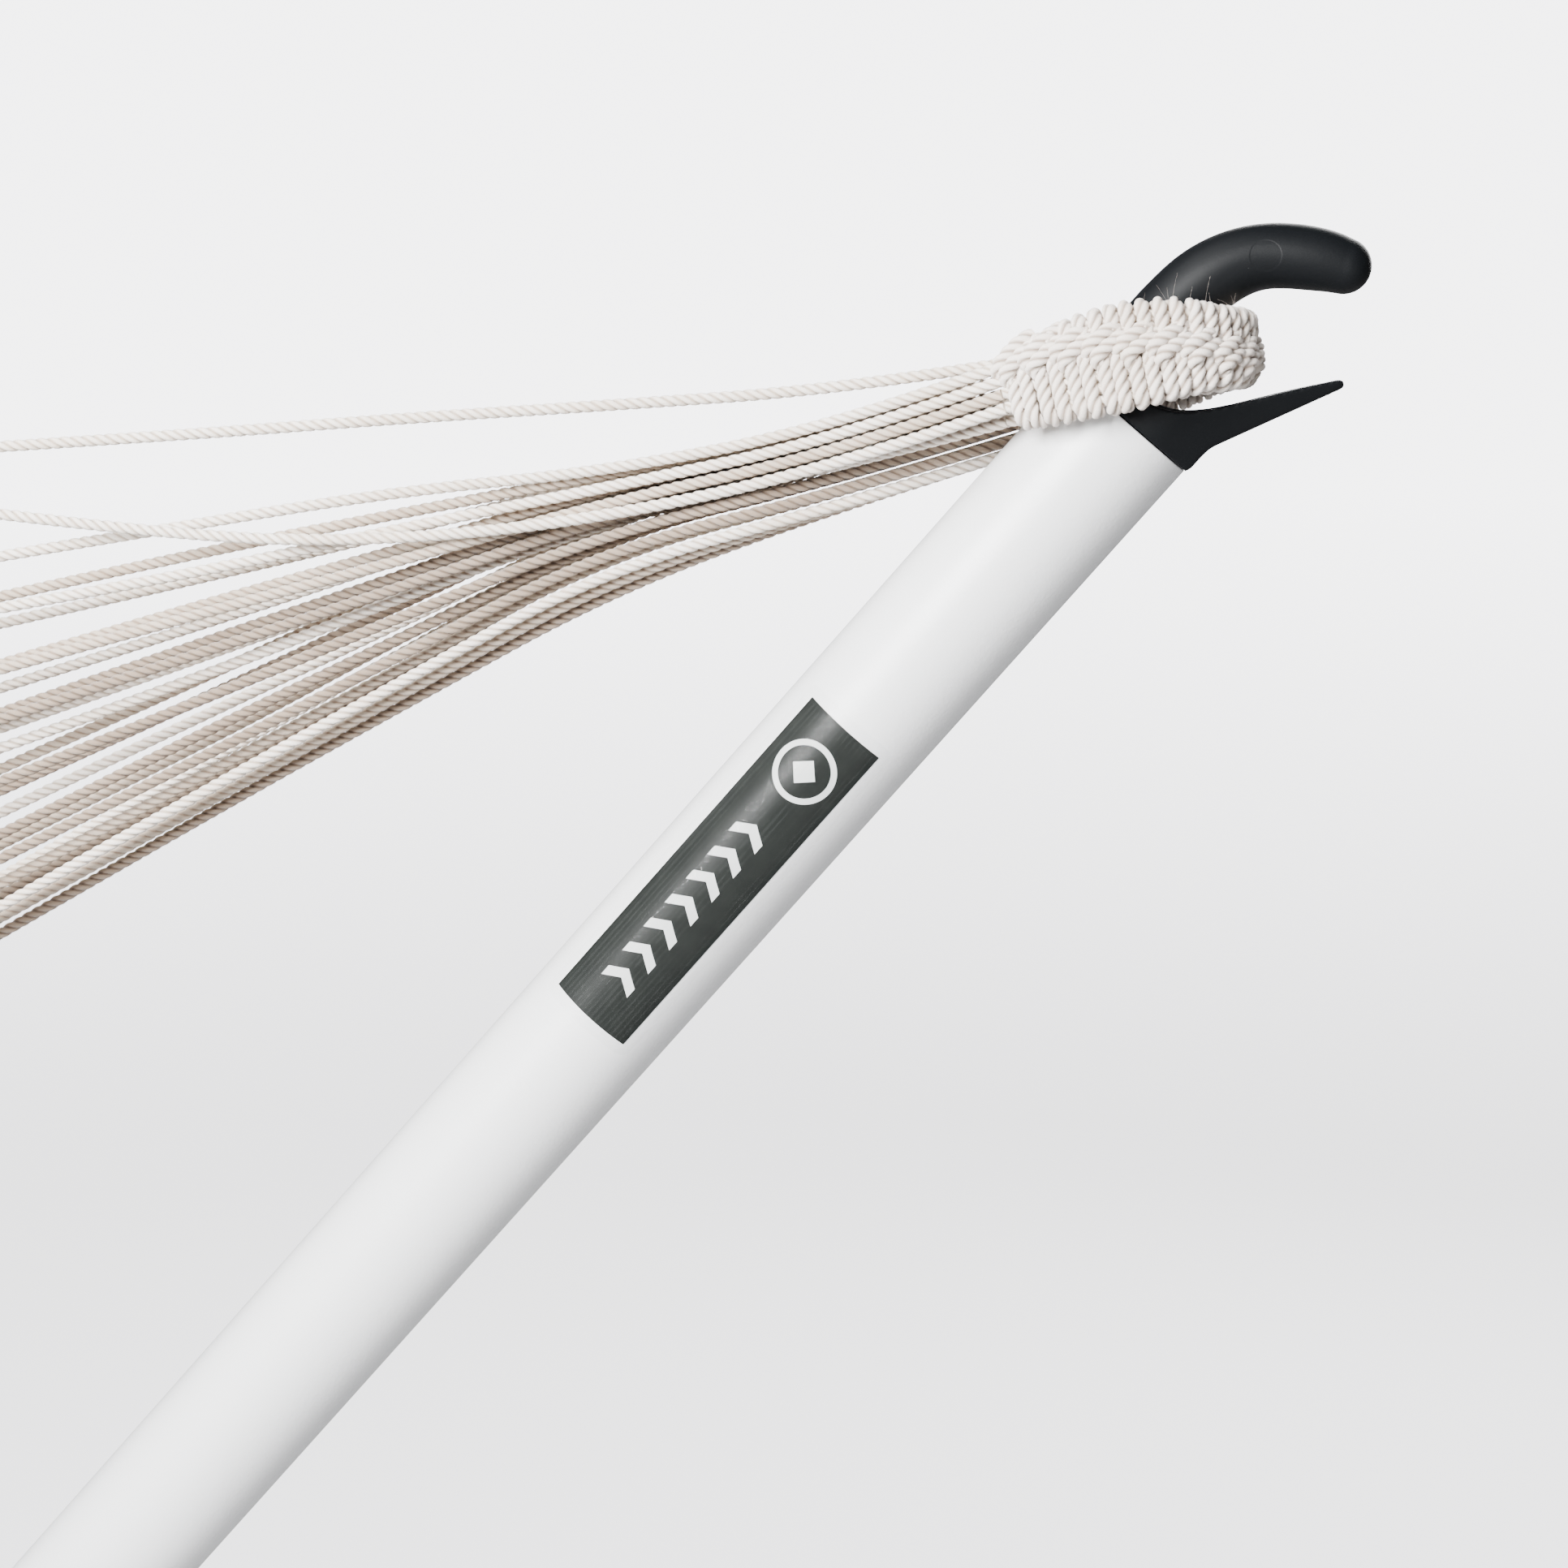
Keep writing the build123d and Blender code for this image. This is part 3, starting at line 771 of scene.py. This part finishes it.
def inner_line(number):
    """Centre line of one cord through the eye, from one leg's cord to the other's."""
    first = Vector(cord_routes[number][0])
    last = Vector(cord_routes[near_leg + number][0])
    row, column = number % column_cords, number // column_cords
    line = []
    for s in np.linspace(0, band_length, 120):
        place, outward, up, half_high, half_thick, _ = band_at(s)
        y = (half_high - 0.0058) * (1 - 2 * row / (column_cords - 1))
        x = (half_thick - 0.0044) * (1 - 2 * column)
        point = place + outward * x + up * y
        lead_in = min(1, s / lead_length)
        lead_out = min(1, (band_length - s) / lead_length)
        for share, end, far in ((lead_in, first, s), (lead_out, last, band_length - s)):
            blend = share * share * (3 - 2 * share)
            toward = eye_x * far
            point = point.lerp(end + toward, 1 - blend)
        line.append(clear_of_tube(point))
    return spread_evenly(line, ring_spacing)


inner_lines = [inner_line(number) for number in range(near_leg)]
inner = laid_rope("eye_cords", inner_lines, cord_section, cord_lay)
dress(inner, cotton_light)
settle(inner, "eye", "cotton", "eye_core")
print(len(inner_lines), "cords inside,", len(inner.data.polygons), "faces")

# %% [markdown]
# ## The eye: stray fibres
# Spun cotton sheds short fibres that stand off its surface and soften its outline. About two
# hundred hair-thin curves on the wraps and the ridge give that. More would look like fur.

# %% Stray fibres
def make_fibres(name, count, seed):
    """Short hair-thin curves rooted on the wraps and on the ridge's stitches."""
    random.seed(seed)
    curve = bpy.data.curves.new(name, "CURVE")
    curve.dimensions = "3D"
    curve.bevel_depth = 0.000020
    curve.bevel_resolution = 0
    for _ in range(count):
        line = random.choice(wrap_lines if random.random() < 0.7 else stitch_lines)
        root_at = random.randrange(2, len(line) // 3)
        root = Vector(line[root_at])
        middles = [band_at(s)[0] for s in np.linspace(0, band_length, 40)]
        near = min(middles, key=lambda middle: (middle - root).length)
        out = (root - near).normalized()
        drift = Vector([random.uniform(-1, 1) for _ in range(3)])
        reach = random.uniform(0.0022, 0.0052)
        spline = curve.splines.new("NURBS")
        spline.points.add(4)
        for i, point in enumerate(spline.points):
            share = i / 4
            co = root + out * (0.0014 + reach * share) + drift * reach * share * share * 0.9
            point.co = (*co, 1)
            point.radius = 1 - 0.6 * share
        spline.order_u = 3
        spline.use_endpoint_u = True
        spline.resolution_u = 3
    fibres = bpy.data.objects.new(name, curve)
    bpy.context.scene.collection.objects.link(fibres)
    pick(fibres)
    bpy.ops.object.convert(target="MESH")
    return bpy.context.view_layer.objects.active


fibres = make_fibres("eye_fibres", 220, 11)
dress(fibres, cotton_hitch)
settle(fibres, "eye", "braid_cotton")
for section in (cord_section, hitch_section):
    bpy.data.objects.remove(section)
print("fibres", len(fibres.data.polygons), "faces")

# %% [markdown]
# ## Satin black plastic
# The hook is moulded in glass-filled nylon: nearly black, slightly blue, with a fine satin grain
# that spreads highlights wide. Grain is a small bump, and roughness varies a little over the
# surface. A shallow ring on the horn is the mark where the mould's gate was.

# %% Surface grain
def make_grain_group():
    """Shader group: fine surface grain as a normal, and a slow roughness value."""
    group = bpy.data.node_groups.new("surface_grain", "ShaderNodeTree")
    face = group.interface
    face.new_socket("Grain Scale", in_out="INPUT", socket_type="NodeSocketFloat")
    face.new_socket("Grain Depth", in_out="INPUT", socket_type="NodeSocketFloat")
    face.new_socket("Rough Low", in_out="INPUT", socket_type="NodeSocketFloat")
    face.new_socket("Rough High", in_out="INPUT", socket_type="NodeSocketFloat")
    face.new_socket("Normal", in_out="OUTPUT", socket_type="NodeSocketVector")
    face.new_socket("Roughness", in_out="OUTPUT", socket_type="NodeSocketFloat")
    start = group.nodes.new("NodeGroupInput")
    end = group.nodes.new("NodeGroupOutput")
    place = add_node(group, "ShaderNodeTexCoord").outputs["Object"]
    grain = noise(group, place, 900, 2)
    group.links.new(start.outputs["Grain Scale"], grain.inputs["Scale"])
    bump = add_node(group, "ShaderNodeBump", {"Strength": 1.0, "Height": grain.outputs[0]})
    group.links.new(start.outputs["Grain Depth"], bump.inputs["Distance"])
    slow = ramp(group, noise(group, place, 35, 3).outputs[0], 0.3, 0.7)
    level = add_node(group, "ShaderNodeMix", data_type="FLOAT")
    group.links.new(slow, level.inputs[0])
    group.links.new(start.outputs["Rough Low"], level.inputs[2])
    group.links.new(start.outputs["Rough High"], level.inputs[3])
    group.links.new(bump.outputs["Normal"], end.inputs["Normal"])
    group.links.new(level.outputs[0], end.inputs["Roughness"])
    return group


grain_group = make_grain_group()


def grained(tree, shader, scale, depth, rough_low, rough_high):
    """Link the grain group's normal and roughness to a shader."""
    grain = add_node(tree, "ShaderNodeGroup", node_tree=grain_group)
    values = (scale, depth, rough_low, rough_high)
    for name, value in zip(("Grain Scale", "Grain Depth", "Rough Low", "Rough High"), values):
        grain.inputs[name].default_value = value
    tree.links.new(grain.outputs["Normal"], shader.inputs["Normal"])
    tree.links.new(grain.outputs["Roughness"], shader.inputs["Roughness"])
    return grain


# %% Hook plastic
tube_across = Vector((tube_axis.z, 0, -tube_axis.x))
gate_place = tube_top + tube_axis * 0.0696 - tube_across * 0.0022 + Vector((0, -0.0108, 0))
gate_radius = 0.0050
plastic_black = (0.003, 0.0036, 0.0044, 1)
dust_grey = (0.12, 0.125, 0.13, 1)

hook_plastic, tree, shader = start_material(
    "hook_plastic", {"Base Color": plastic_black, "IOR": 1.5, "Specular IOR Level": 0.14}
)
grain = grained(tree, shader, 1700, 0.00003, 0.48, 0.56)
place = add_node(tree, "ShaderNodeTexCoord").outputs["Object"]
away = add_node(tree, "ShaderNodeVectorMath", operation="DISTANCE")
tree.links.new(place, away.inputs[0])
away.inputs[1].default_value = gate_place
inside = ramp(tree, away.outputs["Value"], gate_radius, gate_radius + 0.0004)
edge_bump = add_node(tree, "ShaderNodeBump", {"Strength": 0.3, "Distance": 0.0002, "Height": inside})
tree.links.new(grain.outputs["Normal"], edge_bump.inputs["Normal"])
tree.links.new(edge_bump.outputs["Normal"], shader.inputs["Normal"])
dust = ramp(tree, noise(tree, place, 700, 1).outputs[0], 0.80, 0.86)
tree.links.new(blend_colour(tree, dust, plastic_black, dust_grey), shader.inputs["Base Color"])
print("gate mark at", [round(v, 4) for v in gate_place])

# %% [markdown]
# ## Hook: rounded edges
# The CAD hook has sharp edges where its cup, tongue and neck meet, because they are cut from
# plain solids. A moulding has every edge rounded by a millimetre or so. A copy of the CAD mesh is
# merged, rebuilt from small cubes of volume, and smoothed, which rounds edges and fills inner
# corners alike. The copy stands for the CAD node, which stays for collision.

# %% Hook
rebuild_cube = 0.00068

shell = bpy.data.objects.new("hook_shell", nodes["hook_body"].data.copy())
bpy.context.scene.collection.objects.link(shell)
pick(shell)
bpy.ops.object.mode_set(mode="EDIT")
bpy.ops.mesh.select_all(action="SELECT")
bpy.ops.mesh.remove_doubles(threshold=0.000002)
bpy.ops.object.mode_set(mode="OBJECT")
rebuild = shell.modifiers.new("rebuild", "REMESH")
rebuild.mode = "VOXEL"
rebuild.voxel_size = rebuild_cube
soften = shell.modifiers.new("soften", "SMOOTH")
soften.factor = 0.5
soften.iterations = 6
for modifier in ("rebuild", "soften"):
    bpy.ops.object.modifier_apply(modifier=modifier)
bpy.ops.object.shade_smooth()
dress(shell, hook_plastic)
settle(shell, "arm", "hook_plastic", "hook_body")
print("hook", len(shell.data.polygons), "faces")

# %% [markdown]
# ## Powder-coated tube
# The tube is white polyester powder coat. Baked powder levels out almost flat, but keeps a fine
# orange peel about a millimetre across, which breaks up highlights. It is satin, not glossy.

# %% Tube paint
tube_paint, tree, shader = start_material(
    "tube_paint", {"Base Color": (0.80, 0.805, 0.81, 1), "IOR": 1.5, "Coat Weight": 0.15}
)
shader.inputs["Coat Roughness"].default_value = 0.3
grained(tree, shader, 620, 0.00009, 0.34, 0.42)
dress(nodes["arm_tube"], tube_paint)
print("tube paint on", nodes["arm_tube"].name)

# %% [markdown]
# ## Steel parts
# The screw is bright zinc plate and the bar inside the hook is plain steel. Both are metal, so
# their colour is in the reflection. The bar is hidden, but it gets its real finish.

# %% Steel
def make_steel(name, colour, rough_low, rough_high):
    """Metal finish with a fine grain."""
    steel, tree, shader = start_material(name, {"Base Color": colour, "Metallic": 1.0})
    grained(tree, shader, 2400, 0.00001, rough_low, rough_high)
    return steel


dress(nodes["cap_screw"], make_steel("screw_steel", (0.62, 0.63, 0.64, 1), 0.22, 0.34))
dress(nodes["hook_core"], make_steel("bare_steel", (0.38, 0.37, 0.36, 1), 0.45, 0.6))
print("steel on", nodes["cap_screw"].name, "and", nodes["hook_core"].name)

# %% [markdown]
# ## Label
# The label is printed dark grey-green on a clear film. The print has a soft shine, and the
# film's clear edge shows faintly round it. The print's colour has a very faint mottle, as ink
# has. The motif is left in a light tone.

# %% Label
def make_print(name, ink, mottled):
    """Ink under a thin film."""
    sockets = {"Base Color": ink, "IOR": 1.5, "Specular IOR Level": 0.1}
    printed, tree, shader = start_material(name, sockets)
    grained(tree, shader, 500, 0.00001, 0.30, 0.38)
    place = add_node(tree, "ShaderNodeTexCoord").outputs["Object"]
    share = ramp(tree, noise(tree, place, 160, 3).outputs[0], 0.35, 0.65)
    tree.links.new(blend_colour(tree, share, ink, mottled), shader.inputs["Base Color"])
    return printed


ink_dark = make_print("label_ink", (0.006, 0.0075, 0.0065, 1), (0.008, 0.0098, 0.0084, 1))
ink_light = make_print("label_light", (0.55, 0.57, 0.56, 1), (0.60, 0.62, 0.61, 1))
dress(nodes["label_print"], ink_dark)
dress(nodes["label_motif"], ink_light)

film, tree, shader = start_material(
    "label_film", {"Base Color": (0.35, 0.36, 0.36, 1), "Alpha": 0.02, "IOR": 1.5}
)
shader.inputs["Coat Weight"].default_value = 0.5
grained(tree, shader, 300, 0.00001, 0.10, 0.16)
dress(nodes["label_film"], film)
print("label finishes:", ink_dark.name, ink_light.name, film.name)

# %% [markdown]
# ## Stage and light
# A plain pale floor runs up into a curved wall all round, so there is no horizon from any side.
# A circle is extruded outwards and up, step by step. The light is a large soft box at the upper
# left, a second one above, a weak fill from the lower right, one behind so that the back can
# be seen, and an even pale sky.

# %% Floor
floor_level = cad_low.z - 0.25
floor_middle = 0.25  # the arm's middle along X
floor_reach = 3.4
curve_radius = 1.4  # of the bend from floor to wall
curve_steps = 12
wall_height = 3.0
start_radius = 0.5

bpy.ops.object.select_all(action="DESELECT")
bpy.ops.mesh.primitive_circle_add(
    vertices=96, radius=start_radius, fill_type="NGON", location=(floor_middle, 0, floor_level)
)
floor = bpy.context.view_layer.objects.active
floor.name = "studio_floor"
bpy.ops.object.mode_set(mode="EDIT")
bpy.ops.mesh.select_mode(type="EDGE")
bpy.ops.mesh.select_all(action="DESELECT")
bpy.ops.object.mode_set(mode="OBJECT")
for edge in floor.data.edges:
    edge.select = True
bpy.ops.object.mode_set(mode="EDIT")
reach, height = start_radius, 0.0
for step in range(curve_steps + 1):
    angle = math.radians(90 * step / curve_steps)
    next_reach = floor_reach - curve_radius + curve_radius * math.sin(angle)
    next_height = curve_radius - curve_radius * math.cos(angle)
    bpy.ops.mesh.extrude_region_move(TRANSFORM_OT_translate={"value": (0, 0, next_height - height)})
    grow = next_reach / reach
    middle = (floor_middle, 0, floor_level + next_height)
    bpy.ops.transform.resize(value=(grow, grow, 1), center_override=middle)
    reach, height = next_reach, next_height
bpy.ops.mesh.extrude_region_move(TRANSFORM_OT_translate={"value": (0, 0, wall_height)})
bpy.ops.mesh.select_all(action="SELECT")
bpy.ops.mesh.normals_make_consistent(inside=True)
bpy.ops.object.mode_set(mode="OBJECT")
bpy.ops.object.shade_smooth()
bpy.ops.object.transform_apply(location=True, rotation=True, scale=True)

# the floor glows only to the camera, brighter towards the top, and lights nothing
floor_paint, tree, shader = start_material(
    "studio_paint", {"Base Color": (0.26, 0.26, 0.265, 1), "Roughness": 0.9}
)
shader.inputs["Emission Color"].default_value = (0.97, 0.965, 0.99, 1)
seen = add_node(tree, "ShaderNodeLightPath").outputs["Is Camera Ray"]
place = add_node(tree, "ShaderNodeTexCoord").outputs["Object"]
level = add_node(tree, "ShaderNodeSeparateXYZ", {"Vector": place}).outputs["Z"]
bright = ramp(tree, level, floor_level, 0.32, 2.6, 5.4)
glow = add_node(tree, "ShaderNodeMath", {0: seen, 1: bright}, operation="MULTIPLY")
tree.links.new(glow.outputs[0], shader.inputs["Emission Strength"])
dress(floor, floor_paint)
print("floor at", round(floor_level, 3), "m,", len(floor.data.polygons), "faces")


# %% Light
lit_place = tube_top * 0.75  # three quarters of the way up the tube


def soft_box(name, direction, distance, size, energy):
    """Square area light facing lit_place: distance and size in metres, energy in watts."""
    data = bpy.data.lights.new(name, "AREA")
    data.shape = "SQUARE"
    data.size = size
    data.energy = energy
    light = bpy.data.objects.new(name, data)
    bpy.context.scene.collection.objects.link(light)
    toward = Vector(direction).normalized()
    light.location = lit_place + toward * distance
    light.rotation_euler = toward.to_track_quat("Z", "Y").to_euler()
    return light


soft_box("key", (-0.38, -0.83, 0.40), 1.5, 0.8, 120)
soft_box("top", (-0.45, -0.25, 0.86), 1.6, 0.8, 14)
soft_box("fill", (0.50, -0.80, -0.20), 1.5, 0.6, 5)
soft_box("back", (0.30, 0.88, 0.36), 1.7, 1.0, 55)
world = bpy.data.worlds.new("studio_air")
world.use_nodes = True
world.node_tree.nodes["Background"].inputs["Color"].default_value = (0.95, 0.96, 1.0, 1)
world.node_tree.nodes["Background"].inputs["Strength"].default_value = 0.22
bpy.context.scene.world = world
print("4 soft boxes and a pale sky")
